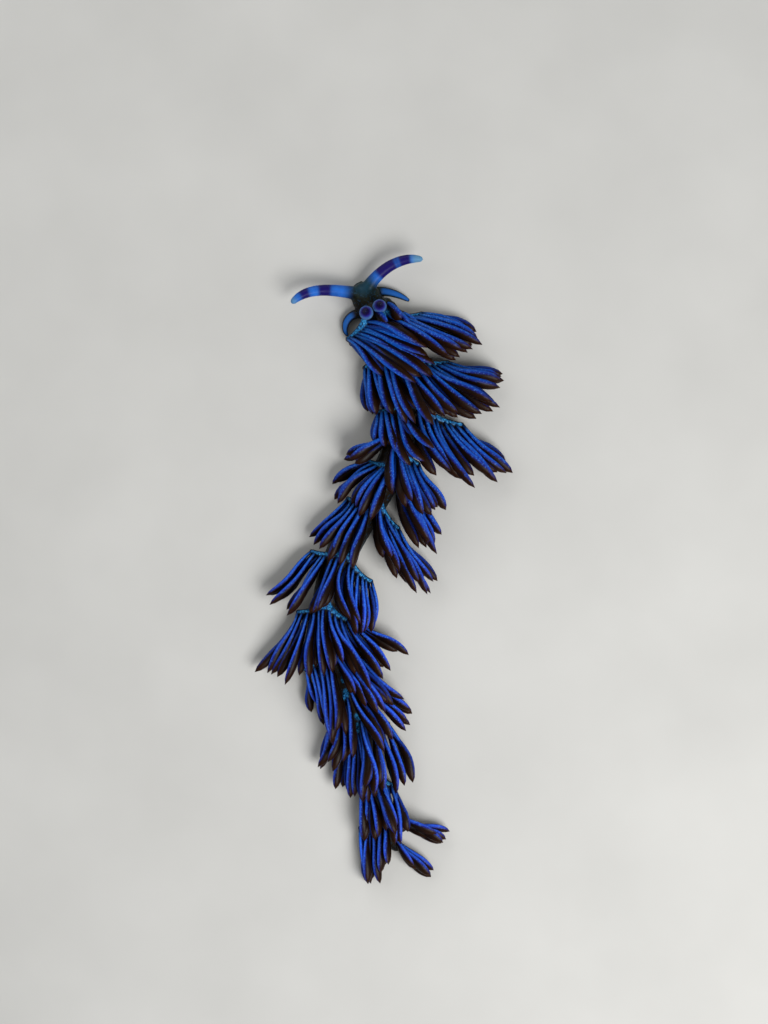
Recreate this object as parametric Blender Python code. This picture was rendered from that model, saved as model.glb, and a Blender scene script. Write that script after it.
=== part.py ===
# Blue dragon sea slug, life size, crawling with its body in a shallow S.
# Its head faces -Y, its back faces +Z and its sole lies flat on z = 0. Its left side faces +X.
# Lengths named here are in millimetres, angles in degrees. MM turns a length into the scene's metres.
import math
import random

import bmesh
import bpy
from mathutils import Vector
from mathutils.bvhtree import BVHTree

MM = 0.001
GAP = 0.34
WELD = 0.001
NEARLY_UPRIGHT = 0.05
LEFT, RIGHT = 1, -1

# The midline of the sole as points (x, y), from the front of the head to the tip of the tail.
MIDLINE = (
    (-3.3, -45.6),
    (-5.3, -42.0),
    (-9.3, -33.0),
    (-10.5, -25.5),
    (-9.3, -17.5),
    (-5.3, -10.0),
    (-0.5, -1.7),
    (2.2, 7.0),
    (1.5, 15.0),
    (-1.7, 23.0),
    (-5.2, 33.0),
    (-7.6, 43.0),
    (-8.7, 51.0),
)
MIDLINE_STEPS = 1200
DIRECTION_REACH = 1.2

# Half width of the body, height of the back and half width of the sole at stations along the midline.
HALF_WIDTHS = ((0, 1.5), (3, 2.35), (7, 2.1), (20, 2.6), (45, 2.6), (72, 2.0), (88, 1.3), (101, 0.35))
BACK_HEIGHTS = ((0, 2.9), (3, 3.7), (7, 3.9), (20, 4.8), (45, 4.8), (72, 3.9), (88, 2.6), (101, 0.9))
SOLE_WIDTHS = ((0, 1.9), (3, 2.5), (7, 2.1), (20, 2.7), (45, 2.7), (72, 2.1), (88, 1.5), (101, 0.55))
BODY_LENGTH = 100.6
TAIL_POINT = 0.5
RING_SPACING = 2.5

# Outline across the midline: points of the sole as shares of its half width, the rim of the foot and the
# groove over it with their greatest heights, and points of the flank as shares of half width and height.
SOLE_POINTS = (0.45, 0.95)
RIM_OUT, RIM_HEIGHT, RIM_SHARE = 1.04, 0.4, 0.3
GROOVE_OUT, GROOVE_HEIGHT, GROOVE_SHARE = 0.90, 1.0, 0.42
FLANK_POINTS = ((1.00, 0.52), (0.82, 0.80), (0.45, 0.96))

# Where the body is parted into its named lengths.
HEAD_END = 5.6
LENGTHS = (
    ("neck", HEAD_END, 19.4),
    ("trunk_front", 19.4, 45.6),
    ("trunk_middle", 45.6, 62.8),
    ("trunk_rear", 62.8, 84.6),
    ("tail", 84.6, BODY_LENGTH),
)

# Each cluster of cerata: station of its crest, side, how far out its crest reaches, the bearings of its
# innermost and outermost finger away from straight tailward (outward is positive), their lengths seen
# from above, and their number.
CLUSTERS = (
    (7.2, LEFT, 5.8, -42, -14, 12.4, 13.2, 7),
    (8.4, RIGHT, 6.0, 22, 54, 14.2, 10.0, 7),
    (12.4, LEFT, 5.0, -12, 28, 10.6, 7.0, 7),
    (16.0, RIGHT, 6.3, 16, 62, 12.0, 13.2, 9),
    (22.0, LEFT, 4.4, -44, 24, 8.6, 7.2, 7),
    (22.8, RIGHT, 7.8, 8, 50, 9.6, 12.7, 9),
    (29.0, RIGHT, 3.4, 14, 60, 8.2, 7.2, 5),
    (32.2, LEFT, 4.2, -10, 22, 9.0, 7.2, 6),
    (34.2, RIGHT, 5.2, 20, 62, 11.2, 9.6, 7),
    (39.0, RIGHT, 6.2, 10, 64, 11.0, 12.2, 8),
    (40.0, LEFT, 4.0, -18, 20, 11.0, 8.4, 8),
    (49.8, LEFT, 4.6, -16, 24, 9.0, 10.2, 7),
    (50.2, RIGHT, 5.9, 2, 44, 10.4, 7.4, 7),
    (58.4, LEFT, 4.4, -6, 28, 9.4, 12.0, 8),
    (59.2, RIGHT, 4.8, -2, 46, 11.6, 11.0, 8),
    (66.2, LEFT, 4.5, -12, 17, 10.8, 9.0, 7),
    (66.8, RIGHT, 4.0, -12, 16, 10.6, 9.8, 7),
    (73.8, LEFT, 3.8, 2, 32, 10.6, 9.6, 6),
    (75.0, RIGHT, 4.8, -2, 25, 10.8, 7.6, 6),
    (79.8, LEFT, 3.4, 4, 30, 8.8, 7.4, 5),
    (80.6, RIGHT, 3.7, -22, 2, 9.8, 9.2, 5),
    (88.2, LEFT, 2.8, -4, 16, 9.0, 8.3, 5),
    (89.4, RIGHT, 2.4, -14, 0, 9.2, 8.5, 5),
    (95.4, LEFT, 4.6, -6, 8, 8.0, 8.8, 6),
    (96.0, RIGHT, 2.6, 18, 50, 8.6, 7.4, 6),
)
CREST_INNER, CREST_INNER_SHARE = 1.2, 0.45
CREST_RADII = (1.1, 0.75)
CREST_RISE, CREST_FALL, CREST_FALL_POWER, CREST_LOWEST = 0.86, 0.26, 1.6, 1.2
CREST_SWEEP, CREST_AHEAD = 1.2, 0.3
CREST_END = 0.8
CREST_SIDES = 6
CREST_RINGS = 4
ROUND_START = 0.7

# One ceras: a flattened finger, widest past its middle and drawn to a point.
CERAS_WIDTH = 1.3
CERAS_DEPTH = 1.7
CERAS_SIDES = 5
CERAS_SHAPE = ((0.0, 0.55), (0.33, 0.84), (0.67, 1.0), (0.87, 0.68))
CERAS_STEPS = 15
CERAS_ROOT_SUNK, CERAS_ROOT_SHOWS, CERAS_ROOT_RAISED = 0.75, 0.4, 0.2
INNER_RISE, OUTER_RISE, RISE_POWER = (46, 0), (12, -12), 0.8
BEARING_BEND = 8
EDGE_SHORTER = 0.1
BEARING_SWAY, RISE_SWAY, LENGTH_SWAY = 2, 2, (0.95, 1.05)
TAIL_TAPER_FROM = 70.0
TAIL_CERAS_SCALE = 0.82

# Cerata lie over those of the clusters behind them, as shingles do. Each is bent up in these steps,
# and past the last of them drawn shorter, until it is clear of what lies behind. Its thickness grows
# from the root at one rate and shrinks to the tip at another.
LIFT_STEP, LIFT_TRIES, LIFT_BEND, STEEPEST = 4, 13, 1.1, 80
SHORTER_STEP, SHORTER_TRIES = 0.07, 8
ROOT_SHARE, ROOT_THICKNESS, ROOT_GROWTH = 0.14, 0.55, 1.2
TIP_SHRINKS, TIP_ENDS = 5.0, 1.04
FLOOR_GAP = 0.2

# Head, lips and mouth.
HEAD_STATION = 2.4
HEAD_SIZES = (3.1, 2.5, 1.75)
HEAD_LIFT = 2.1
HEAD_CUTS = (14, 10)
HEAD_RINGS = (0.9, 1.6, 2.6, 4.0)
LIP_OUT, LIP_LIFT, LIP_AHEAD = 0.53, 1.35, 0.15
LIP_SIZES = (0.8, 0.62, 0.75)
LIP_CUTS = (8, 6)
MOUTH_SIZES = (1.3, 0.34, 1.0)
MOUTH_AHEAD, MOUTH_LIFT = 0.75, 1.4

# Feelers: name, side, place (station, out and up), first and last angle away from straight ahead,
# how late the bend comes, rise at the root and at the tip, length and half widths.
FEELER_SIDES = 8
STUB_LENGTH, STUB_SUNK = 0.9, 0.8
STUB_SWELL = (1.25, 1.12, 1.0)
TENTACLE_RADII = (0.86, 0.8, 0.74, 0.7, 0.66, 0.58, 0.42)
CORNER_RADII = (0.6, 0.54, 0.46, 0.34)
FEELERS = (
    ("oral_tentacle_left", LEFT, (0.6, 0.9, 2.5), (52, 106), 2.6, (8, 6), 10.2, TENTACLE_RADII),
    ("oral_tentacle_right", RIGHT, (0.7, 1.05, 2.5), (68, 128), 1.4, (8, 6), 9.5, TENTACLE_RADII),
    ("foot_corner_left", LEFT, (3.6, 2.15, 0.75), (70, 176), 1.3, (0, 0), 4.6, CORNER_RADII),
    ("foot_corner_right", RIGHT, (1.0, 1.95, 0.75), (106, 160), 0.9, (0, 0), 5.4, CORNER_RADII),
)

# Rhinophores: a bare stalk, then leaves stacked as rings that narrow to a blunt tip. The stub is what the
# head holds of the stalk, as (height, radius). A leaf's neck and rim are shares of its radius and height.
RHINOPHORE_STATION, RHINOPHORE_OUT, RHINOPHORE_LIFT = 4.25, 1.3, 3.95
RHINOPHORE_SPLAY = 4
RHINOPHORE_LENGTH = 4.9
RHINOPHORE_SIDES = 9
RHINOPHORE_STUB = ((-1.6, 1.0), (-0.6, 0.95), (0, 0.8))
STALK_LENGTH, STALK_WAIST, STALK_RADII = 1.2, 0.72, (0.78, 0.74)
LEAVES, LEAF_RADII, LEAF_FALL = 8, (1.12, 0.34), 1.7
LEAF_NECK, LEAF_RIM = 0.74, 0.55
CAP_LENGTH, CAP_RING, CAP_RADIUS = 0.5, 0.35, 0.24

SEED = 29

SKIN = ("skin", (0.045, 0.020, 0.010, 1), 0.38)
PURPLE = ("feeler_purple", (0.030, 0.022, 0.230, 1), 0.35)
PALE = ("rhinophore_lilac", (0.170, 0.150, 0.420, 1), 0.40)
BLUE = ("cerata_blue", (0.030, 0.105, 0.620, 1), 0.32)


def clear_scene():
    for thing in list(bpy.data.objects):
        bpy.data.objects.remove(thing)


def material(look):
    name, colour, roughness = look
    made = bpy.data.materials.get(name) or bpy.data.materials.new(name)
    made.use_nodes = True
    shader = made.node_tree.nodes["Principled BSDF"]
    shader.inputs["Base Color"].default_value = colour
    shader.inputs["Roughness"].default_value = roughness
    shader.inputs["Metallic"].default_value = 0
    made.diffuse_color = colour
    return made


def spline(points, share):
    """A point on the Catmull-Rom curve through the points, share running from 0 to 1."""
    spans = len(points) - 1
    place = min(share * spans, spans - 1e-9)
    i = int(place)
    t = place - i
    a, b, c, d = [Vector(points[max(0, min(spans, i + k))]) for k in (-1, 0, 1, 2)]
    return 0.5 * (2 * b + (c - a) * t + (2 * a - 5 * b + 4 * c - d) * t**2 + (3 * b - a - 3 * c + d) * t**3)


def measured_midline():
    """The midline as (distance from the front, point), close enough together to read between."""
    laid = [(0.0, spline(MIDLINE, 0))]
    for n in range(1, MIDLINE_STEPS + 1):
        point = spline(MIDLINE, n / MIDLINE_STEPS)
        laid.append((laid[-1][0] + (point - laid[-1][1]).length, point))
    return laid


LAID = measured_midline()


def on_midline(station):
    for (s0, p0), (s1, p1) in zip(LAID, LAID[1:]):
        if s1 >= station:
            return p0.lerp(p1, (station - s0) / max(s1 - s0, 1e-9)).to_3d()
    return LAID[-1][1].to_3d()


def directions(station, side=LEFT):
    """Unit vectors at a station: tailward, outward on that side, and up."""
    ahead = on_midline(max(station - DIRECTION_REACH, 0))
    back = (on_midline(min(station + DIRECTION_REACH, BODY_LENGTH)) - ahead).normalized()
    up = Vector((0, 0, 1))
    return back, up.cross(back) * -side, up


def read(keys, station):
    """Smooth value between the (station, value) pairs."""
    if station <= keys[0][0]:
        return keys[0][1]
    for (s0, v0), (s1, v1) in zip(keys, keys[1:]):
        if station <= s1:
            t = (station - s0) / (s1 - s0)
            return v0 + (v1 - v0) * t * t * (3 - 2 * t)
    return keys[-1][1]


def mesh_object(name, bm, look):
    bmesh.ops.recalc_face_normals(bm, faces=bm.faces)
    data = bpy.data.meshes.new(name)
    bm.to_mesh(data)
    bm.free()
    data.transform(((MM, 0, 0, 0), (0, MM, 0, 0), (0, 0, MM, 0), (0, 0, 0, 1)))
    made = bpy.data.objects.new(name, data)
    bpy.context.scene.collection.objects.link(made)
    made.data.materials.append(material(look))
    return made


def loft(name, rings, look, front_pole=None, rear_pole=None):
    """A closed body through rings of equal length, its ends flat or drawn to a pole."""
    bm = bmesh.new()
    laid = [[bm.verts.new(p) for p in ring] for ring in rings]
    count = len(rings[0])
    for one, other in zip(laid, laid[1:]):
        for i in range(count):
            j = (i + 1) % count
            bm.faces.new((one[i], one[j], other[j], other[i]))
    for ring, pole in ((laid[0], front_pole), (laid[-1], rear_pole)):
        if pole is None:
            bm.faces.new(ring)
            continue
        tip = bm.verts.new(pole)
        for i in range(count):
            bm.faces.new((ring[i], ring[(i + 1) % count], tip))
    bmesh.ops.triangulate(bm, faces=bm.faces)
    return mesh_object(name, bm, look)


def body_ring(station, cut_at=None):
    """Outline of the body across the midline: flat sole, thin rim of the foot, groove, flank and back."""
    width = read(HALF_WIDTHS, station)
    height = read(BACK_HEIGHTS, station)
    sole = read(SOLE_WIDTHS, station)
    half = [(share * sole, 0) for share in SOLE_POINTS]
    half.append((RIM_OUT * sole, min(RIM_HEIGHT, RIM_SHARE * height)))
    half.append((GROOVE_OUT * width, min(GROOVE_HEIGHT, GROOVE_SHARE * height)))
    half.extend((share * width, level * height) for share, level in FLANK_POINTS)
    outline = [*half, (0, height), *((-x, z) for x, z in reversed(half))]
    centre = on_midline(station)
    _, out, up = directions(cut_at if cut_at is not None else station)
    return [centre + out * x + up * z for x, z in outline]


def body_rings(start, end):
    """Outlines of one length of the body, its parted ends square to the midline where it is cut."""
    first = start + 0.5 * GAP
    last = end - (0.5 * GAP if end < BODY_LENGTH else 0)
    count = max(3, round((last - first) / RING_SPACING) + 1)
    stations = [first + (last - first) * n / (count - 1) for n in range(count)]
    middle = [body_ring(station) for station in stations[1:-1]]
    return [body_ring(first, start), *middle, body_ring(last, end)]


def tube(name, points, radii, look, sides, flatten=1.0, pointed=True, start_round=False):
    """A tapering tube along points. Radii are half widths, and flatten makes the tube deeper than wide."""
    rings = []
    for i, point in enumerate(points[: len(radii)]):
        before = points[max(i - 1, 0)]
        after = points[min(i + 1, len(points) - 1)]
        along = (after - before).normalized()
        side = along.cross(Vector((0, 0, 1)))
        side = side.normalized() if side.length > NEARLY_UPRIGHT else Vector((1, 0, 0))
        deep = side.cross(along)
        ring = []
        for k in range(sides):
            a = math.tau * (k + 0.5 * (flatten == 1.0)) / sides
            ring.append(point + side * radii[i] * math.sin(a) + deep * radii[i] * flatten * math.cos(a))
        rings.append(ring)
    front = points[0] - (points[1] - points[0]).normalized() * radii[0] * ROUND_START if start_round else None
    return loft(name, rings, look, front, points[len(radii)] if pointed else None)


def swept_path(start, heading_at, length, steps):
    """Points of a curve of that length whose direction at each share of it is heading_at(share)."""
    points = [start]
    for n in range(steps):
        points.append(points[-1] + heading_at((n + 0.5) / steps) * (length / steps))
    return points


def between(pair, share):
    return pair[0] + (pair[1] - pair[0]) * share


def crest_point(cluster, share):
    """A point on the crest that a cluster grows from, inner end at share 0."""
    station, side, reach = cluster[:3]
    back, out, up = directions(station, side)
    inner = min(CREST_INNER, CREST_INNER_SHARE * read(HALF_WIDTHS, station))
    lift = read(BACK_HEIGHTS, station) * (CREST_RISE - CREST_FALL * share**CREST_FALL_POWER)
    sweep = CREST_SWEEP * share**2 - CREST_AHEAD
    level = on_midline(station) + out * between((inner, reach), share) + back * sweep
    return level + up * max(lift, CREST_LOWEST)


def cluster_scale(cluster):
    """Cerata and crests grow smaller along the tail."""
    tapered = max(0.0, (cluster[0] - TAIL_TAPER_FROM) / (BODY_LENGTH - TAIL_TAPER_FROM))
    return 1 - (1 - TAIL_CERAS_SCALE) * tapered


def crest(name, cluster):
    shares = [n / (CREST_RINGS - 1) for n in range(CREST_RINGS)]
    points = [crest_point(cluster, share) for share in shares]
    radii = [cluster_scale(cluster) * between(CREST_RADII, share) for share in shares]
    points.append(points[-1] + (points[-1] - points[-2]).normalized() * radii[-1] * CREST_END)
    return tube(name, points, radii, BLUE, CREST_SIDES, start_round=True)


def ceras_path(cluster, share, sway, lift):
    """Centreline of one ceras: it leaves the crest, rises, bends over and ends almost level."""
    station, side = cluster[:2]
    back, out, up = directions(station, side)
    bearing = between(cluster[3:5], share) + sway[0]
    curl = BEARING_BEND * (1 if bearing > 0 else -1)
    rise = [between(pair, share**RISE_POWER) + sway[1] for pair in zip(INNER_RISE, OUTER_RISE)]
    length = between(cluster[5:7], share) * sway[2] * (1 - EDGE_SHORTER * abs(2 * share - 1))

    def heading(t):
        turn = math.radians(bearing + curl * (0.5 - t))
        steep = math.radians(min(between(rise, t) + lift * (1 - LIFT_BEND * t), STEEPEST))
        return (back * math.cos(turn) + out * math.sin(turn)) * math.cos(steep) + up * math.sin(steep)

    start = crest_point(cluster, share) - heading(0) * (CERAS_ROOT_SUNK - CERAS_ROOT_SHOWS)
    start += up * CERAS_ROOT_RAISED
    return swept_path(start, heading, length + CERAS_ROOT_SUNK, CERAS_STEPS)


def surface_of(piece):
    bm = bmesh.new()
    bm.from_mesh(piece.data)
    tree = BVHTree.FromBMesh(bm)
    bm.free()
    return tree


def room(surfaces, point):
    """Distance from a point to the nearest of the surfaces, negative inside one of them."""
    least = math.inf
    for surface in surfaces:
        place, normal, _, distance = surface.find_nearest(point * MM)
        outside = (point * MM - place).dot(normal) >= 0
        least = min(least, distance / MM if outside else -distance / MM)
    return least


def is_clear(path, half_depth, surfaces):
    """Whether a ceras along the path keeps its gap to the floor and to the surfaces behind it."""
    for n, point in enumerate(path):
        share = n / (len(path) - 1)
        if share < ROOT_SHARE:
            continue
        thick = half_depth * min(1.0, ROOT_THICKNESS + ROOT_GROWTH * share, TIP_SHRINKS * (TIP_ENDS - share))
        if point.z < thick + FLOOR_GAP or room(surfaces, point) < thick + GAP:
            return False
    return True


def ceras(name, cluster, share, chance, surfaces):
    """One ceras, bent up or drawn shorter until it is clear of the surfaces behind it."""
    swings = [chance.uniform(-swing, swing) for swing in (BEARING_SWAY, RISE_SWAY)]
    longer = chance.uniform(*LENGTH_SWAY)
    half = 0.5 * CERAS_WIDTH * cluster_scale(cluster)
    flatten = CERAS_DEPTH / CERAS_WIDTH
    for step in range(LIFT_TRIES + SHORTER_TRIES):
        lift = min(step, LIFT_TRIES) * LIFT_STEP
        shorter = 1 - max(0, step - LIFT_TRIES) * SHORTER_STEP
        path = ceras_path(cluster, share, (*swings, longer * shorter), lift)
        if is_clear(path, half * flatten, surfaces):
            break
    stops = [round(t * CERAS_STEPS) for t, _ in CERAS_SHAPE] + [CERAS_STEPS]
    radii = [half * r for _, r in CERAS_SHAPE]
    return tube(name, [path[n] for n in stops], radii, BLUE, CERAS_SIDES, flatten=flatten)


def ellipsoid(name, centre, sizes, axes, look, cuts):
    """A closed ball, stretched along the three axes."""
    bm = bmesh.new()
    bmesh.ops.create_uvsphere(bm, u_segments=cuts[0], v_segments=cuts[1], radius=1)
    for v in bm.verts:
        x, y, z = v.co
        v.co = centre + axes[0] * x * sizes[0] + axes[1] * y * sizes[1] + axes[2] * z * sizes[2]
    bmesh.ops.triangulate(bm, faces=bm.faces)
    return mesh_object(name, bm, look)


def fuse(core, pieces, operation="UNION"):
    """One Boolean of the core with all the pieces, applied, and only its largest closed surface kept."""
    group = bpy.data.collections.new(core.name + "_pieces")
    for piece in pieces:
        group.objects.link(piece)
    step = core.modifiers.new("join", "BOOLEAN")
    step.operation = operation
    step.operand_type = "COLLECTION"
    step.collection = group
    step.solver = "MANIFOLD"
    bpy.context.view_layer.update()
    graph = bpy.context.evaluated_depsgraph_get()
    joined = bpy.data.meshes.new_from_object(core.evaluated_get(graph))
    core.modifiers.clear()
    core.data = joined
    for piece in pieces:
        bpy.data.objects.remove(piece)
    bpy.data.collections.remove(group)
    keep_largest(joined)
    return core


def keep_largest(data):
    bm = bmesh.new()
    bm.from_mesh(data)
    unseen = set(bm.verts)
    largest = set()
    while unseen:
        waiting = [unseen.pop()]
        found = set(waiting)
        while waiting:
            for link in waiting.pop().link_edges:
                for v in link.verts:
                    if v in unseen:
                        unseen.discard(v)
                        found.add(v)
                        waiting.append(v)
        largest = max(largest, found, key=len)
    bmesh.ops.delete(bm, geom=[v for v in bm.verts if v not in largest], context="VERTS")
    bmesh.ops.dissolve_degenerate(bm, edges=bm.edges, dist=WELD * MM)
    bmesh.ops.triangulate(bm, faces=bm.faces)
    bm.to_mesh(data)
    bm.free()


def body_length(name, start, end, chance, behind):
    """One length of the body with the crests and cerata that grow from it, clear of the surfaces behind."""
    rings = body_rings(start, end)
    tip = None
    if end >= BODY_LENGTH:
        tip = on_midline(BODY_LENGTH) + directions(BODY_LENGTH)[0] * TAIL_POINT
    core = loft(name, rings, SKIN, rear_pole=tip)
    pieces = []
    for number, cluster in reversed(list(enumerate(CLUSTERS))):
        if not start <= cluster[0] < end:
            continue
        grown = [crest(f"{name}_crest_{number}", cluster)]
        for n in range(cluster[7]):
            share = n / (cluster[7] - 1)
            grown.append(ceras(f"{name}_ceras_{number}_{n}", cluster, share, chance, behind))
        behind.extend(surface_of(piece) for piece in grown)
        pieces.extend(grown)
    behind.append(surface_of(core))
    return fuse(core, pieces)


def feeler_heading(side, station, angles, lateness, rises):
    """Heading of a feeler at each share of its length, from its angle off straight ahead and its rise."""
    back, outward, up = directions(station, side)

    def heading(t):
        turn = math.radians(between(angles, t**lateness))
        steep = math.radians(between(rises, t))
        level = back * -math.cos(turn) + outward * math.sin(turn)
        return level * math.cos(steep) + up * math.sin(steep)

    return heading


def place_on(side, station, out, lift):
    _, outward, up = directions(station, side)
    return on_midline(station) + outward * out + up * lift


def feeler(name, side, place, angles, lateness, rises, length, radii):
    """A soft feeler on its own, starting a gap past the stub that the head holds for it."""
    heading = feeler_heading(side, place[0], angles, lateness, rises)
    root = place_on(side, *place) + heading(0) * (STUB_LENGTH + GAP)
    points = swept_path(root, heading, length, len(radii))
    points[1] = root + heading(0) * (length / len(radii))
    return tube(name, points, radii, PURPLE if "tentacle" in name else SKIN, FEELER_SIDES)


def feeler_stub(name, side, place, angles, lateness, rises, length, radii):
    ahead = feeler_heading(side, place[0], angles, lateness, rises)(0)
    start = place_on(side, *place)
    points = [start - ahead * STUB_SUNK, start, start + ahead * STUB_LENGTH]
    widths = [radii[0] * swell for swell in STUB_SWELL]
    return tube(f"{name}_stub", points, widths, SKIN, FEELER_SIDES, pointed=False)


def rhinophore_base(side):
    """Where a rhinophore stands on the head, and the way it points."""
    _, outward, up = directions(RHINOPHORE_STATION, side)
    splay = math.radians(RHINOPHORE_SPLAY)
    axis = up * math.cos(splay) + outward * math.sin(splay)
    return place_on(side, RHINOPHORE_STATION, RHINOPHORE_OUT, RHINOPHORE_LIFT), axis


def turned(name, base, axis, profile, look, sides):
    """A round closed piece from (height, radius) pairs along its axis, flat below and pointed above."""
    side = axis.cross(Vector((0, 1, 0))).normalized()
    other = side.cross(axis)
    rings = []
    for height, radius in profile[:-1]:
        ring = []
        for k in range(sides):
            a = math.tau * k / sides
            ring.append(base + axis * height + (side * math.cos(a) + other * math.sin(a)) * radius)
        rings.append(ring)
    return loft(name, rings, look, rear_pole=base + axis * profile[-1][0])


def rhinophore_profile():
    """The (height, radius) pairs of a rhinophore from the foot of its stalk to its tip."""
    profile = list(zip((0, STALK_WAIST), STALK_RADII))
    leaf = (RHINOPHORE_LENGTH - STALK_LENGTH - CAP_LENGTH) / LEAVES
    for n in range(LEAVES):
        radius = between(LEAF_RADII, (n / (LEAVES - 1)) ** LEAF_FALL)
        low = STALK_LENGTH + n * leaf
        profile.append((low, radius * LEAF_NECK))
        profile.append((low + leaf * LEAF_RIM, radius))
    profile.append((RHINOPHORE_LENGTH - CAP_RING, CAP_RADIUS))
    profile.append((RHINOPHORE_LENGTH, 0))
    return profile


def rhinophore(name, side):
    base, axis = rhinophore_base(side)
    return turned(name, base + axis * GAP, axis, rhinophore_profile(), PALE, RHINOPHORE_SIDES)


def rhinophore_stub(name, side):
    base, axis = rhinophore_base(side)
    heights, radii = zip(*RHINOPHORE_STUB)
    return tube(name, [base + axis * height for height in heights], radii, SKIN, FEELER_SIDES, pointed=False)


def head(name):
    """Rounded head on the front of the foot, with stubs for the feelers and a lipped mouth below."""
    rings = [body_ring(station) for station in HEAD_RINGS]
    rings.append(body_ring(HEAD_END - 0.5 * GAP, HEAD_END))
    core = loft(name, rings, SKIN)
    back, out, up = directions(HEAD_STATION)
    middle = on_midline(HEAD_STATION) + up * HEAD_LIFT
    pieces = [ellipsoid("head_form", middle, HEAD_SIZES, (back, out, up), SKIN, HEAD_CUTS)]
    pieces.extend(feeler_stub(*row) for row in FEELERS)
    for side in (LEFT, RIGHT):
        pieces.append(rhinophore_stub(f"rhinophore_stub_{side}", side))
        back, outward, up = directions(0, side)
        lip = on_midline(0) + outward * LIP_OUT + up * LIP_LIFT - back * LIP_AHEAD
        pieces.append(ellipsoid(f"lip_{side}", lip, LIP_SIZES, (back, outward, up), SKIN, LIP_CUTS))
    return fuse(core, pieces)


def cut_mouth(node):
    """A short upright slit between the lips, on the front of the head just above the foot."""
    back, out, up = directions(0)
    bm = bmesh.new()
    bmesh.ops.create_cube(bm, size=1)
    centre = on_midline(0) - back * MOUTH_AHEAD + up * MOUTH_LIFT
    depth, width, height = MOUTH_SIZES
    for v in bm.verts:
        x, y, z = v.co
        v.co = centre + back * x * depth + out * y * width + up * z * height
    bmesh.ops.triangulate(bm, faces=bm.faces)
    return fuse(node, [mesh_object("mouth_cutter", bm, SKIN)], "DIFFERENCE")


def build():
    clear_scene()
    cut_mouth(head("head"))
    for row in FEELERS:
        feeler(*row)
    rhinophore("rhinophore_left", LEFT)
    rhinophore("rhinophore_right", RIGHT)
    chance = random.Random(SEED)
    behind = []
    for name, start, end in reversed(LENGTHS):
        body_length(name, start, end, chance, behind)


build()
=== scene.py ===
import math
import random

import bpy
import numpy as np
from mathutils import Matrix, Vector
from mathutils.bvhtree import BVHTree


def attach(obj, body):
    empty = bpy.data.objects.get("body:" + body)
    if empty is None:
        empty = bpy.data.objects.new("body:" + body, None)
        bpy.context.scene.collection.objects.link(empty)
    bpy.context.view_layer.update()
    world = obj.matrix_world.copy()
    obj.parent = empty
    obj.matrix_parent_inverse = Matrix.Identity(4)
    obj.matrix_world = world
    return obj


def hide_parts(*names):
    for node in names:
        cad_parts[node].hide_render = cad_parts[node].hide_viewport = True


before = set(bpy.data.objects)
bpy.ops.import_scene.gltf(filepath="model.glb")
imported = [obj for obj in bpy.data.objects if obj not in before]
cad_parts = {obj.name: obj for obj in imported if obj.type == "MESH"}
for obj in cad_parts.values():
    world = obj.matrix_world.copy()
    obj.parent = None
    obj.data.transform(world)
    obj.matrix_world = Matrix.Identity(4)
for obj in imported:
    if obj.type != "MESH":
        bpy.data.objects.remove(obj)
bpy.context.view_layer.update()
bpy.ops.object.select_all(action="DESELECT")

# Skin: the soft, wet hide of the head, the body with its foot, and the feelers, all one piece.
# It is laid up as soft cords and balls along the midline, run together by a remesh, smoothed,
# and cut flat where the sole lies on the floor. Lengths are in millimetres, MM turns them to metres.
MM = 0.001
UP = Vector((0, 0, 1))
LEFT, RIGHT = 1, -1
MIDLINE = (
    (-3.3, -45.6),
    (-5.3, -42.0),
    (-9.3, -33.0),
    (-10.5, -25.5),
    (-9.3, -17.5),
    (-5.3, -10.0),
    (-0.5, -1.7),
    (2.2, 7.0),
    (1.5, 15.0),
    (-1.7, 23.0),
    (-5.2, 33.0),
    (-7.6, 43.0),
    (-8.7, 51.0),
)
HALF_WIDTHS = ((0, 1.5), (3, 2.35), (7, 2.1), (20, 2.6), (45, 2.6), (72, 2.0), (88, 1.3), (101, 0.35))
BACK_HEIGHTS = ((0, 2.9), (3, 3.7), (7, 3.9), (20, 4.8), (45, 4.8), (72, 3.9), (88, 2.6), (101, 0.9))
SOLE_WIDTHS = ((0, 1.9), (3, 2.5), (7, 2.1), (20, 2.7), (45, 2.7), (72, 2.1), (88, 1.5), (101, 0.55))
BODY_LENGTH, BODY_START, BODY_STEP = 100.6, 0.9, 0.8
MIDLINE_POINTS, DIRECTION_REACH = 1201, 1.2
ROUNDING_ANGLES = (30, 60, 86)
FOOT_SPREAD, FOOT_FLATTEN, FOOT_LIFT = 1.06, 0.21, 0.28
HEAD_STATION, HEAD_LIFT, HEAD_SIZE = 2.4, 2.1, (6.2, 5.0, 3.5)
LIP_OUT, LIP_AHEAD, LIP_LIFT, LIP_SIZE = 0.56, 0.15, 1.35, (1.7, 1.24, 1.5)
MOUTH_SLIT, MOUTH_HEIGHT, MOUTH_DEPTH, MOUTH_LIFT, MOUTH_AHEAD = 0.26, 1.15, 1.5, 1.4, 0.85
SKIN_VOXEL, SOFTENING, SOFTENINGS = 0.19, 0.5, 9
CUT_EXACTNESS = 1e-6

# The midline is a smooth curve through its points, and midline_run holds the length run at each step.
knots = np.array([MIDLINE[0], *MIDLINE, MIDLINE[-1]])
spans = np.linspace(0, len(MIDLINE) - 1, MIDLINE_POINTS)
first = np.minimum(spans.astype(int), len(MIDLINE) - 2)
t = (spans - first)[:, None]
a, b, c, d = (knots[first + k] for k in range(4))
midline = 0.5 * (2 * b + (c - a) * t + (2 * a - 5 * b + 4 * c - d) * t**2 + (3 * b - a - 3 * c + d) * t**3)
midline_run = np.concatenate([[0], np.cumsum(np.linalg.norm(np.diff(midline, axis=0), axis=1))])


def on_midline(station):
    x, y = (np.interp(station, midline_run, midline[:, axis]) for axis in (0, 1))
    return Vector((x, y, 0))


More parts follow.
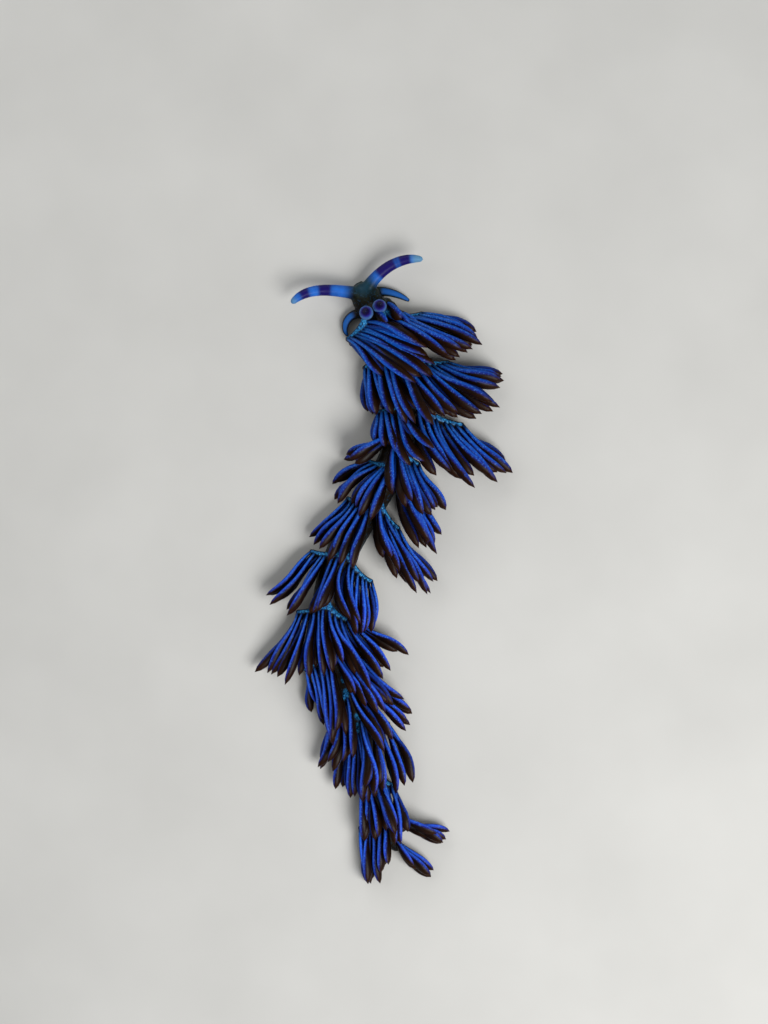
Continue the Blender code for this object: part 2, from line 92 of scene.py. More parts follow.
def directions(station, side=LEFT):
    """Unit vectors at a station: tailward, and outward on that side."""
    behind = on_midline(min(station + DIRECTION_REACH, BODY_LENGTH))
    ahead = on_midline(max(station - DIRECTION_REACH, 0))
    back = (behind - ahead).normalized()
    return back, UP.cross(back) * -side


def read(keys, station):
    """Smooth value between the (station, value) pairs."""
    for (s0, v0), (s1, v1) in zip(keys, keys[1:]):
        if station <= s1:
            t = max(0.0, (station - s0) / (s1 - s0))
            return v0 + (v1 - v0) * t * t * (3 - 2 * t)
    return keys[-1][1]


def between(pair, share):
    return pair[0] + (pair[1] - pair[0]) * share


def select(*things):
    bpy.ops.object.select_all(action="DESELECT")
    for thing in things:
        thing.select_set(True)
    bpy.context.view_layer.objects.active = things[0]


def rounded_end(tip, inner, radius):
    """The further points and radii that round a cord off beyond its tip."""
    ahead = (tip - inner).normalized()
    turns = [math.radians(angle) for angle in ROUNDING_ANGLES]
    points = [tip + ahead * radius * math.sin(turn) for turn in turns]
    return points, [radius * math.cos(turn) for turn in turns]


def cord(name, points, radii):
    """A round cord of flesh with rounded ends, drawn as a curve and turned to a mesh."""
    start_points, start_radii = rounded_end(points[0], points[1], radii[0])
    end_points, end_radii = rounded_end(points[-1], points[-2], radii[-1])
    points = [*reversed(start_points), *points, *end_points]
    radii = [*reversed(start_radii), *radii, *end_radii]
    drawn = bpy.data.curves.new(name, "CURVE")
    drawn.dimensions = "3D"
    drawn.bevel_depth = MM
    drawn.bevel_resolution = 6
    drawn.use_fill_caps = True
    drawn.splines.new("POLY").points.add(len(points) - 1)
    for knot, point, radius in zip(drawn.splines[0].points, points, radii):
        knot.co = (*(point * MM), 1)
        knot.radius = radius
    made = bpy.data.objects.new(name, drawn)
    bpy.context.scene.collection.objects.link(made)
    select(made)
    bpy.ops.object.convert(target="MESH")
    return made


def ball(name, centre, size, back):
    """A ball of flesh with its length along the body there."""
    turn = math.atan2(back.y, back.x)
    bpy.ops.mesh.primitive_uv_sphere_add(
        segments=32, ring_count=20, radius=0.5 * MM, location=centre * MM, rotation=(0, 0, turn), scale=size
    )
    made = bpy.context.object
    made.name = name
    bpy.ops.object.transform_apply()
    return made


stations = np.arange(BODY_START, BODY_LENGTH, BODY_STEP)
middles = [on_midline(s) for s in stations]
widths = [read(HALF_WIDTHS, s) for s in stations]
lifts = [read(BACK_HEIGHTS, s) - width for s, width in zip(stations, widths)]
body = cord("body", [middle + UP * lift for middle, lift in zip(middles, lifts)], widths)
foot = cord("foot", middles, [FOOT_SPREAD * read(SOLE_WIDTHS, s) for s in stations])
bpy.ops.transform.resize(value=(1, 1, FOOT_FLATTEN), center_override=(0, 0, 0))
bpy.ops.transform.translate(value=(0, 0, FOOT_LIFT * MM))
bpy.ops.object.transform_apply()
head_back = directions(HEAD_STATION)[0]
flesh = [body, foot, ball("head", on_midline(HEAD_STATION) + UP * HEAD_LIFT, HEAD_SIZE, head_back)]
front_back = directions(0)[0]
for side in (LEFT, RIGHT):
    place = on_midline(0) + directions(0, side)[1] * LIP_OUT + UP * LIP_LIFT - front_back * LIP_AHEAD
    flesh.append(ball("lip", place, LIP_SIZE, front_back))

# Feelers: the two long oral tentacles and the two short corners of the foot, soft tapering cords that
# grow out of the head and bend back. Each row is side, place on the head (station, out, up), first and
# last angle off straight ahead, how late the bend comes, rise at root and tip, length, and half widths.
TENTACLE_RADII = (1.2, 1.1, 1.04, 1.0, 0.97, 0.94, 0.9, 0.84, 0.75, 0.56)
CORNER_RADII = (0.85, 0.8, 0.74, 0.66, 0.55, 0.36)
FEELERS = {
    "tentacle_left": (LEFT, (0.6, 0.9, 2.5), (52, 106), 2.6, (8, 6), 11.2, TENTACLE_RADII),
    "tentacle_right": (RIGHT, (0.7, 1.05, 2.5), (68, 128), 1.4, (8, 6), 10.5, TENTACLE_RADII),
    "corner_left": (LEFT, (3.7, 2.15, 0.85), (72, 186), 1.2, (0, 0), 5.0, CORNER_RADII),
    "corner_right": (RIGHT, (1.7, 1.95, 0.85), (116, 152), 0.9, (0, 0), 5.8, CORNER_RADII),
}
FEELER_STEPS = 24
feeler_lines = {}
for name, (side, place, angles, lateness, rises, length, radii) in FEELERS.items():
    back, outward = directions(place[0], side)
    points = [on_midline(place[0]) + outward * place[1] + UP * place[2]]
    for n in range(FEELER_STEPS):
        share = (n + 0.5) / FEELER_STEPS
        turn = math.radians(between(angles, share**lateness))
        steep = math.radians(between(rises, share))
        level = back * -math.cos(turn) + outward * math.sin(turn)
        heading = level * math.cos(steep) + UP * math.sin(steep)
        points.append(points[-1] + heading * (length / FEELER_STEPS))
    feeler_lines[name] = points
    shares = np.linspace(0, 1, len(points))
    flesh.append(cord(name, points, np.interp(shares, np.linspace(0, 1, len(radii)), radii)))

# Crests: the raised arches of skin along both sides of the back that the cerata grow from. Each row is
# station, side, where the crest starts and ends out from the midline, bearings of the innermost and the
# outermost ceras off straight tailward at root, middle and tip, lengths across the fan, and their number.
CLUSTERS = (
    (5.8, RIGHT, (0.2, 1.8), (4, 8, 4), (10, 12, 8), (6.0, 5.8, 5.6), 2),
    (6.0, RIGHT, (2.6, 4.4), (18, 12, 4), (30, 18, 5), (6.0, 5.8, 5.6), 3),
    (6.4, LEFT, (1.8, 5.8), (-63, -45, -34), (-25, -21, -20), (9.0, 13.8, 13.2), 8),
    (7.4, RIGHT, (1.4, 7.2), (34, 34, 32), (64, 44, 30), (12.8, 12.8, 8.8), 8),
    (12.4, LEFT, (0.2, 5.2), (-5, -5, -10), (25, 15, 8), (13.5, 9.6, 6.8), 7),
    (15.2, RIGHT, (1.6, 8.4), (7, 22, 39), (62, 62, 62), (11.5, 13.0, 9.0), 8),
    (22.0, LEFT, (0.2, 4.4), (-10, -27, -57), (-2, -5, -10), (9.4, 8.8, 7.4), 6),
    (23.0, RIGHT, (2.4, 10.0), (2, 26, 52), (42, 52, 56), (11.6, 12.8, 10.4), 8),
    (27.0, LEFT, (1.8, 3.0), (30, 42, 52), (46, 56, 66), (7.0, 7.0, 6.8), 3),
    (29.0, RIGHT, (-0.9, 4.0), (2, 18, 30), (32, 45, 55), (8.6, 9.4, 8.4), 6),
    (32.2, LEFT, (-0.6, 3.6), (4, -2, -14), (48, 28, 14), (8.6, 8.6, 7.2), 6),
    (32.4, RIGHT, (0.6, 6.8), (33, 47, 52), (35, 52, 65), (13.4, 12.4, 7.0), 6),
    (39.0, RIGHT, (0.7, 6.2), (28, 44, 53), (59, 70, 71), (9.2, 13.4, 10.5), 7),
    (39.6, LEFT, (0.0, 3.6), (-6, -8, -22), (0, 22, 22), (10.6, 9.8, 7.8), 6),
    (49.6, LEFT, (0.2, 4.8), (-12, -4, 3), (28, 20, 36), (9.2, 11.6, 10.0), 6),
    (50.0, RIGHT, (0.9, 6.4), (-6, 32, 56), (31, 18, 2), (11.4, 9.4, 7.6), 7),
    (58.4, LEFT, (0.2, 4.8), (-2, -9, -16), (14, 26, 40), (9.8, 11.6, 11.8), 6),
    (59.4, RIGHT, (0.3, 5.2), (-4, 22, 4), (44, 54, 48), (9.4, 12.0, 9.4), 6),
    (66.4, LEFT, (0.5, 5.2), (-8, 10, 30), (6, 2, -4), (12.6, 12.6, 5.6), 6),
    (66.4, RIGHT, (0.2, 3.8), (4, 16, -12), (17, 24, 30), (7.4, 10.6, 9.8), 5),
    (72.4, RIGHT, (0.4, 5.0), (8, 14, 4), (29, 27, 27), (12.0, 9.6, 6.6), 5),
    (73.8, LEFT, (0.3, 3.8), (10, 20, 30), (17, 34, 56), (9.6, 10.2, 9.8), 5),
    (79.0, RIGHT, (0.3, 4.4), (2, -8, -24), (12, 0, -18), (11.8, 11.2, 9.4), 5),
    (79.8, LEFT, (0.2, 3.4), (2, 12, 20), (26, 26, 28), (11.4, 9.8, 7.8), 5),
    (88.0, LEFT, (0.3, 2.8), (-6, -4, -2), (16, 16, 14), (9.0, 8.8, 8.3), 4),
    (88.8, RIGHT, (0.2, 2.6), (2, 2, 1), (-2, -8, -10), (9.0, 9.0, 8.4), 4),
    (95.4, LEFT, (0.2, 4.6), (6, 8, 16), (6, 1, -1), (7.2, 8.6, 8.6), 5),
    (95.4, RIGHT, (0.6, 3.0), (50, 52, 48), (78, 68, 56), (8.0, 7.4, 7.0), 4),
    (98.4, RIGHT, (0.3, 1.6), (26, 34, 38), (38, 42, 43), (7.0, 7.4, 7.0), 3),
)
CREST_RISES, CREST_FALLS, CREST_POWER, CREST_LOWEST = 0.86, 0.38, 2.0, 1.2
CREST_SLANTS, CREST_HEADWARD = {LEFT: 1.2, RIGHT: 2.6}, 0.6
CREST_RADII, CREST_RADII_POWER = (1.0, 0.5), 0.5
LOBE_SINKS, LOBE_BACK, LOBE_DRAWN_IN, LOBE_RADII = 0.4, 0.8, 0.5, (1.4, 0.75)
CERATA_SCALES = ((0.0, 1.04), (26.0, 1.0), (42.0, 0.87), (100.0, 0.9))
CREST_STEPS = 12


def crest_point(cluster, share):
    """A point on the crest that a cluster grows from, inner end at share 0."""
    station, side, reach = cluster[:3]
    back, out = directions(station, side)
    lift = read(BACK_HEIGHTS, station) * (CREST_RISES - CREST_FALLS * share**CREST_POWER)
    along_body = back * CREST_SLANTS[side] * (1 - (1 - share) ** 2 - CREST_HEADWARD)
    return on_midline(station) + out * between(reach, share) + along_body + UP * max(lift, CREST_LOWEST)


def cluster_scale(cluster):
    """How large the cerata and the crest of a cluster are."""
    return read(CERATA_SCALES, cluster[0])


def crest_radius(cluster, share):
    return cluster_scale(cluster) * between(CREST_RADII, share**CREST_RADII_POWER)


crest_lines = []
for cluster in CLUSTERS:
    shares = np.linspace(0, 1, CREST_STEPS)
    points = [crest_point(cluster, share) for share in shares]
    crest_lines.append(points)
    flesh.append(cord("crest", points, [crest_radius(cluster, s) for s in shares]))
    back, out = directions(*cluster[:2])
    under = []
    for point, share in zip(points, shares):
        under.append(point - UP * LOBE_SINKS * point.z + back * LOBE_BACK - out * LOBE_DRAWN_IN * share)
    flesh.append(cord("lobe", under, [cluster_scale(cluster) * between(LOBE_RADII, s) for s in shares]))

RHINOPHORE_STATION, RHINOPHORE_OUT, RHINOPHORE_LIFT, RHINOPHORE_SPLAY = 4.55, 1.17, 3.95, 2
STALK = ((-1.6, 1.05), (-0.6, 0.95), (0.0, 0.78), (1.3, 0.7))
rhinophores = {}
for name, side in (("left", LEFT), ("right", RIGHT)):
    outward = directions(RHINOPHORE_STATION, side)[1]
    splay = math.radians(RHINOPHORE_SPLAY)
    axis = UP * math.cos(splay) + outward * math.sin(splay)
    base = on_midline(RHINOPHORE_STATION) + outward * RHINOPHORE_OUT + UP * RHINOPHORE_LIFT
    rhinophores[name] = (base, axis)
    flesh.append(cord("stalk", [base + axis * lift for lift, _ in STALK], [radius for _, radius in STALK]))

select(*flesh)
bpy.ops.object.join()
skin = bpy.context.object
skin.name = "skin"
run_together = skin.modifiers.new("run_together", "REMESH")
run_together.mode = "VOXEL"
run_together.voxel_size = SKIN_VOXEL * MM
bpy.ops.object.modifier_apply(modifier="run_together")
soften = skin.modifiers.new("soften", "SMOOTH")
soften.factor = SOFTENING
soften.iterations = SOFTENINGS
bpy.ops.object.modifier_apply(modifier="soften")
bpy.ops.object.mode_set(mode="EDIT")
bpy.ops.mesh.select_all(action="SELECT")
bpy.ops.mesh.bisect(
    plane_co=(0, 0, 0), plane_no=(0, 0, 1), clear_inner=True, use_fill=True, threshold=CUT_EXACTNESS
)
bpy.ops.object.mode_set(mode="OBJECT")

mouth = on_midline(0) - front_back * MOUTH_AHEAD + UP * MOUTH_LIFT
cutter = ball("mouth_cutter", mouth, (MOUTH_DEPTH, MOUTH_SLIT, MOUTH_HEIGHT), front_back)
slit = skin.modifiers.new("mouth", "BOOLEAN")
slit.operation = "DIFFERENCE"
slit.object = cutter
select(skin)
bpy.ops.object.modifier_apply(modifier="mouth")
bpy.data.objects.remove(cutter)
bpy.ops.object.shade_smooth()

# Marking: the bands of the feelers and the crests are laid on the skin by how far each point lies along
# and away from their lines, as soft-edged weights that the material mixes by.
BANDS = {
    "tentacle_left": ((4.5, 6.6, 1), (8.2, 9.8, 1)),
    "tentacle_right": ((2.9, 6.3, 1), (6.3, 7.0, 0.6), (7.0, 9.0, 1)),
}
PALE_TIPS = {"tentacle_left": 10.9, "tentacle_right": 9.3}
BAND_EDGE, TIP_EDGE = 0.4, 0.7
FEELER_REACH, FEELER_START, CORNER_START = (1.15, 1.5), (0.5, 2.8), (0.6, 1.6)
CREST_MARK, CREST_MARK_POWER, CREST_TOP, CREST_PATCH_AHEAD = (1.05, 0.26), 0.4, 0.85, 0.35
CREST_MARK_EDGE, CREST_MARK_NEAR = (0.6, 1.0), 8
BARE_CREST_CERATA = 3

co = np.empty(len(skin.data.vertices) * 3)
skin.data.vertices.foreach_get("co", co)
co = co.reshape(-1, 3) / MM


def along_line(points, line):
    """For each point, its distance along the line and away from it."""
    line = np.array(line)
    best = np.full(len(points), np.inf)
    place = np.zeros(len(points))
    run = 0.0
    for p, q in zip(line, line[1:]):
        step = q - p
        length = np.linalg.norm(step)
        t = np.clip((points - p) @ step / length**2, 0, 1)
        away = np.linalg.norm(points - (p + t[:, None] * step), axis=1)
        nearer = away < best
        best[nearer] = away[nearer]
        place[nearer] = run + t[nearer] * length
        run += length
    return place, best


def ramp(values, low, high):
    t = np.clip((values - low) / (high - low), 0, 1)
    return t * t * (3 - 2 * t)


weights = {name: np.zeros(len(co)) for name in ("feeler", "dark_band", "pale_tip", "corner", "crest")}


def mark(name, values, near=slice(None)):
    weights[name][near] = np.maximum(weights[name][near], values)


for name, points in feeler_lines.items():
    place, away = along_line(co, points)
    close = 1 - ramp(away, *FEELER_REACH)
    if name not in BANDS:
        mark("corner", close * ramp(place, *CORNER_START))
        continue
    mark("feeler", close * ramp(place, *FEELER_START))
    mark("pale_tip", close * ramp(place, PALE_TIPS[name] - TIP_EDGE, PALE_TIPS[name] + TIP_EDGE))
    for start, end, strength in BANDS[name]:
        begun = ramp(place, start - BAND_EDGE, start + BAND_EDGE)
        over = ramp(place, end - BAND_EDGE, end + BAND_EDGE)
        mark("dark_band", close * begun * (1 - over) * strength)
for cluster, points in zip(CLUSTERS, crest_lines):
    if cluster[6] <= BARE_CREST_CERATA:
        continue
    near = np.linalg.norm(co[:, :2] - np.array(points).mean(0)[:2], axis=1) < CREST_MARK_NEAR
    back = directions(*cluster[:2])[0]
    tops = []
    for n, point in enumerate(points):
        share = n / (CREST_STEPS - 1)
        raised = UP * CREST_TOP * crest_radius(cluster, share)
        tops.append(point + raised - back * CREST_PATCH_AHEAD * (1 - share))
    place, away = along_line(co[near], tops)
    reach = between(CREST_MARK, (place / place.max()) ** CREST_MARK_POWER) * cluster_scale(cluster)
    mark("crest", 1 - ramp(away / reach, *CREST_MARK_EDGE), near)
for name, values in weights.items():
    skin.data.attributes.new(name, "FLOAT", "POINT").data.foreach_set("value", values.astype(np.float32))

# Wet mollusc skin: soft satin, slightly see-through, olive brown and mottled, with turquoise crests,
# a grey rim to the foot, and feelers banded in light blue and dark violet.
HEAD_PATCH, HEAD_PATCH_RADIUS = (-3.9, -45.6, 3.6), 2.3
GREEN_LIGHT_BEGINS, GREEN_LIGHT_ENDS = -46.5, -41.0
FOOT_RIM, FOOT_RIM_ENDS = 0.35, 0.9
MOTTLE, BLOOM, CREST_WARTS, SKIN_GRAIN = 1.6, 0.35, 0.34, 0.22


def linear(code):
    """The linear colour of an sRGB hex code."""
    parts = [int(code[i : i + 2], 16) / 255 for i in (1, 3, 5)]
    return (*((c / 12.92 if c <= 0.04045 else ((c + 0.055) / 1.055) ** 2.4) for c in parts), 1)


def node(tree, kind, inputs=None, stops=None, output=None, **settings):
    """Adds a shader node and gives its output. An input is a value, a hex colour or another's output."""
    made = tree.nodes.new("ShaderNode" + kind)
    for name, value in settings.items():
        setattr(made, name, value)
    if stops:
        colours = made.color_ramp.elements
        while len(colours) < len(stops):
            colours.new(0.5)
        for element, (place, code) in zip(colours, stops):
            element.position = place
            element.color = linear(code)
    for name, value in (inputs or {}).items():
        socket = next(s for n, s in enumerate(made.inputs) if s.enabled and name in (n, s.name))
        if isinstance(value, bpy.types.NodeSocket):
            tree.links.new(value, socket)
        else:
            socket.default_value = linear(value) if isinstance(value, str) else value
    return made.outputs[output] if output else next(s for s in made.outputs if s.enabled)


def new_look(name):
    """A material of that name, with its node tree and its shader."""
    made = bpy.data.materials.new(name)
    made.use_nodes = True
    return made, made.node_tree, made.node_tree.nodes["Principled BSDF"]


def mix(tree, share, base, top):
    return node(tree, "Mix", {"Factor": share, "A": base, "B": top}, data_type="RGBA")


def maths(tree, operation, *values):
    return node(tree, "Math", dict(enumerate(values)), operation=operation)


def scaled(tree, value, factor):
    return maths(tree, "MULTIPLY", value, factor)


def spread(tree, value, low, high, start=0.0, end=1.0):
    inputs = {"Value": value, "From Min": low, "From Max": high, "To Min": start, "To Max": end}
    return node(tree, "MapRange", inputs, interpolation_type="SMOOTHSTEP")


def noise(tree, where, size, detail=2.0):
    return node(tree, "TexNoise", {"Vector": where, "Scale": 1 / (size * MM), "Detail": detail})


def cells(tree, where, size):
    """Distance from the middle of the nearest of many small cells, such as warts or beads."""
    return node(tree, "TexVoronoi", {"Vector": where, "Scale": 1 / (size * MM)}, output="Distance")


def hues(tree, share, *stops):
    return node(tree, "ValToRGB", {"Fac": share}, stops)


def part_of(tree, vector, axis):
    return node(tree, "SeparateXYZ", {"Vector": vector}, output=axis)


def marked(tree, name):
    return node(tree, "Attribute", output="Fac", attribute_name=name)


def in_relief(tree, shader, height, strength, depth):
    relief = node(tree, "Bump", {"Height": height, "Strength": strength, "Distance": depth * MM})
    tree.links.new(relief, shader.inputs["Normal"])


def wet(shader, roughness, gloss, see_through, coat):
    """Sets the gloss that all the wet flesh shares: water-like IOR, a soft body and a thin wet coat."""
    shader.inputs["Roughness"].default_value = roughness
    shader.inputs["Specular IOR Level"].default_value = gloss
    shader.inputs["IOR"].default_value = 1.38
    shader.inputs["Subsurface Weight"].default_value = see_through
    shader.inputs["Subsurface Radius"].default_value = (1.0, 0.5, 0.4)
    shader.inputs["Subsurface Scale"].default_value = 0.5 * MM
    shader.inputs["Coat Weight"].default_value = coat
    shader.inputs["Coat Roughness"].default_value = 0.18


look, tree, shader = new_look("wet_mollusc_skin")
where = node(tree, "TexCoord", output="Object")
height = part_of(tree, where, "Z")
upward = part_of(tree, node(tree, "NewGeometry", output="Normal"), "Z")
mottle = noise(tree, where, MOTTLE, 4.0)
colour = hues(tree, mottle, (0.32, "#0e0905"), (0.52, "#1b1308"), (0.72, "#302410"))
# Painted light: towards the head the brown skin turns olive green, a painted green ambient light.
olive = hues(tree, mottle, (0.32, "#0c140c"), (0.52, "#16241a"), (0.72, "#2c3a22"))
green_light_share = spread(tree, part_of(tree, where, "Y"), GREEN_LIGHT_ENDS * MM, GREEN_LIGHT_BEGINS * MM)
colour = mix(tree, green_light_share, colour, olive)
colour = mix(tree, spread(tree, noise(tree, where, BLOOM, 3.0), 0.54, 0.68, 0, 0.4), colour, "#1c4f70")
colour = mix(tree, spread(tree, height, FOOT_RIM_ENDS * MM, FOOT_RIM * MM, 0, 0.6), colour, "#34444c")
warts = cells(tree, where, CREST_WARTS)
turquoise = hues(tree, warts, (0.1, "#3c9ace"), (0.45, "#2172ae"), (0.75, "#0c3258"))
colour = mix(tree, marked(tree, "crest"), colour, turquoise)
patch_ends = {0: where, 1: [x * MM for x in HEAD_PATCH]}
from_patch = node(tree, "VectorMath", patch_ends, operation="DISTANCE", output="Value")
colour = mix(tree, spread(tree, from_patch, HEAD_PATCH_RADIUS * MM, 0.3 * MM, 0, 0.7), colour, "#123f54")
stripe = scaled(tree, marked(tree, "corner"), spread(tree, upward, 0.6, 0.9))
colour = mix(tree, stripe, colour, "#1c5aa6")
flesh_light = mix(tree, spread(tree, mottle, 0.35, 0.65, 0, 0.6), "#2468c6", "#164696")
bands = mix(tree, marked(tree, "dark_band"), flesh_light, "#14085a")
bands = mix(tree, marked(tree, "pale_tip"), bands, "#5a88ac")
colour = mix(tree, marked(tree, "feeler"), colour, bands)
tree.links.new(colour, shader.inputs["Base Color"])
in_relief(tree, shader, noise(tree, where, SKIN_GRAIN), 0.35, 0.12)
wet(shader, 0.5, 0.18, 0.1, 0.05)
skin.data.materials.clear()
skin.data.materials.append(look)
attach(skin, "root")
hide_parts("head", "neck", "trunk_front", "trunk_middle", "trunk_rear", "tail")
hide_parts("oral_tentacle_left", "oral_tentacle_right", "foot_corner_left", "foot_corner_right")

# Rhinophores: the two scent organs on top of the head, soft clubs ringed with thin leaves. A round disc
# is drawn up ring by ring, and each club stands on the stalk that the skin holds for it.
RHINOPHORE_LENGTH, RHINOPHORE_SIDES = 4.9, 32
CLUB_FOOT = ((-0.4, 0.66), (0.85, 0.68))
CLUB_END = ((4.68, 0.272), (4.84, 0.153), (RHINOPHORE_LENGTH, 0.02))
LEAVES, LEAVES_START, LEAVES_END = 13, 1.0, 4.6
LEAF_RADII, LEAF_FALL = (1.18, 0.34), 1.9
LEAF_DEPTH, LEAF_SHALLOWER = 0.16, 0.6
LEAF_PROFILE = ((0, 1), (0.3, 0.15), (0.5, 0), (0.72, 0.25))
RHINOPHORE_CLOUD = 0.5


def drawn_up(name, sides, rings):
    """A round solid drawn up from a disc through (height, radius) rings and closed to a point."""
    bpy.ops.object.select_all(action="DESELECT")
    low, radius = rings[0]
    bpy.ops.mesh.primitive_circle_add(vertices=sides, radius=radius, fill_type="NGON", location=(0, 0, low))
    made = bpy.context.object
    made.name = name
    bpy.ops.object.mode_set(mode="EDIT")
    bpy.ops.mesh.select_all(action="SELECT")
    for (low, inner), (high, outer) in zip(rings, rings[1:]):
        bpy.ops.mesh.extrude_region_move(TRANSFORM_OT_translate={"value": (0, 0, high - low)})
        bpy.ops.transform.resize(value=(outer / inner, outer / inner, 1))
    bpy.ops.mesh.merge(type="CENTER")
    bpy.ops.mesh.select_all(action="SELECT")
    bpy.ops.mesh.normals_make_consistent(inside=False)
    bpy.ops.object.mode_set(mode="OBJECT")
    bpy.ops.object.transform_apply()
    return made


rings = list(CLUB_FOOT)
spacing = (LEAVES_END - LEAVES_START) / LEAVES
for n in range(LEAVES):
    share = n / (LEAVES - 1)
    radius = between(LEAF_RADII, share**LEAF_FALL)
    depth = LEAF_DEPTH * (1 - LEAF_SHALLOWER * share)
    rings += [(LEAVES_START + (n + up) * spacing, radius - cut * depth) for up, cut in LEAF_PROFILE]
rings += CLUB_END

# Wet leaves of the rhinophores: pale blue at the foot, dark violet towards the tip, slightly clouded.
look, tree, shader = new_look("wet_rhinophore_leaves")
where = node(tree, "TexCoord", output="Object")
raised = part_of(tree, where, "Z")
raised = spread(tree, raised, RHINOPHORE_LIFT * MM, (RHINOPHORE_LIFT + RHINOPHORE_LENGTH) * MM)
colour = hues(
    tree,
    raised,
    (0.1, "#34486c"),
    (0.35, "#4a74a8"),
    (0.6, "#3c5c9a"),
    (0.76, "#2a2484"),
    (0.88, "#140848"),
    (1.0, "#08031f"),
)
cloud = spread(tree, noise(tree, where, RHINOPHORE_CLOUD, 3.0), 0.4, 0.7, 0, 0.35)
tree.links.new(mix(tree, cloud, colour, "#1c1656"), shader.inputs["Base Color"])
wet(shader, 0.5, 0.2, 0.12, 0.05)

for name, (base, axis) in rhinophores.items():
    club = drawn_up(f"rhinophore_leaves_{name}", RHINOPHORE_SIDES, [(z * MM, r * MM) for z, r in rings])
    club.rotation_mode = "QUATERNION"
    club.rotation_quaternion = UP.rotation_difference(axis)
    club.location = base * MM
    bpy.ops.object.transform_apply()
    bpy.ops.object.shade_smooth()
    club.data.materials.append(look)
    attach(club, "root")
    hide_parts(f"rhinophore_{name}")

# Cerata: the soft blades that cover the back, each a flattened finger with a bright ridge. One is
# modelled straight, ring by ring, and then laid along the path of every finger, cluster by cluster from
# the tail forward, so that each cluster lies over the roots of the one behind, as shingles do.
BLADE_SIDES, BLADE_RINGS, RING_CROWDING = 8, 11, 0.85
BLADE_WIDTH, BLADE_DEPTH, BLADE_EGG = 1.12, 2.0, 0.1
BLADE_SHAPE = (
    (0.0, 0.5),
    (0.1, 0.58),
    (0.35, 0.82),
    (0.6, 1.0),
    (0.75, 0.95),
    (0.87, 0.75),
    (0.95, 0.46),
    (1.0, 0.06),
)
BLADE_STEPS = 18
ROOT_LENGTH, ROOT_SHARE = 0.75, 0.16
INNER_RISE, OUTER_RISE, RISE_POWER, STEEPEST = (40, -4), (12, -12), 0.8, 75
LONGEST_STRETCH, LIFT_FADE = 1.25, 1.1
FLOOR_GAP, SOFTNESS, THINNEST = 0.12, 0.7, 0.45
ROOT_THICKNESS, ROOT_THICKENS, TIP_THINS, TIP_END = 0.5, 1.2, 5.0, 1.04
LEANS, LEAN_SPREAD, LEAN_SHARES, LEAN_FROM, LEAN_TO = (16, 58), 14, (0.4, 1), 0.1, 0.85
ROOT_JITTER, SIZES = 0.22, (0.92, 1.08)
LIFT_STEP, LIFT_TRIES = 3, 15
SHORTER_STEP, SHORTER_TRIES = 0.06, 6
LOWER_ROW_LENGTHS, LOWER_ROW_SPREAD, LOWER_ROW_LEAN = (0.78, 1.0), 8, 24
LOWER_ROW_DROP, LOWER_ROW_DROP_SHARE, LOWER_ROW_BACK, LOWER_ROW_RISE = 0.7, 0.25, 0.5, 0.5
NEIGHBOURS = 26
# How far chance may take one ceras: its bearing and its rise in degrees, its length as a share, and the
# size in degrees and the phase in turns of the bend along it.
SWAYS = (6, 5, 0.09, 9, 0.5)
# In the baking map each ceras is a patch at the place of its root, the lower row just beside the upper.
PATCH, LOWER_ROW_PATCH = 0.003, 0.004
TONES_TO = 0.5
BODY_NODES = (
    ("neck", 0, 19.4),
    ("trunk_front", 19.4, 45.6),
    ("trunk_middle", 45.6, 62.8),
    ("trunk_rear", 62.8, 84.6),
    ("tail", 84.6, BODY_LENGTH),
)

shape_at, shape_size = zip(*BLADE_SHAPE)
heights = [(n / BLADE_RINGS) ** RING_CROWDING for n in range(BLADE_RINGS + 1)]
blade_rings = list(zip(heights, np.interp(heights, shape_at, shape_size)))


class Model:
    """A small shape that is laid many times: its points, its faces and its map of angle and height."""

    def __init__(self, made):
        self.points = np.array([v.co for v in made.data.vertices])
        self.faces = [list(face.vertices) for face in made.data.polygons]
        corners = []
        for face in self.faces:
            centre = self.points[face].mean(0)
            middle = math.atan2(centre[0], centre[1])
            for x, y, z in self.points[face]:
                angle = math.atan2(x, y) if math.hypot(x, y) > 1e-3 else middle
                angle = middle + (angle - middle + math.pi) % math.tau - math.pi
                corners.append((0.5 + angle / math.tau, z))
        self.map = np.array(corners)
        bpy.data.objects.remove(made)

    def faces_of(self, copies):
        """The faces of that many copies, whose points follow each other."""
        count = len(self.points)
        return [[v + n * count for v in face] for n in range(copies) for face in self.faces]


blade = Model(drawn_up("blade_model", BLADE_SIDES, blade_rings))
from_axis = np.hypot(blade.points[:, 0], blade.points[:, 1])
eggs = 1 + BLADE_EGG * blade.points[:, 1] / np.maximum(from_axis, 1e-6)


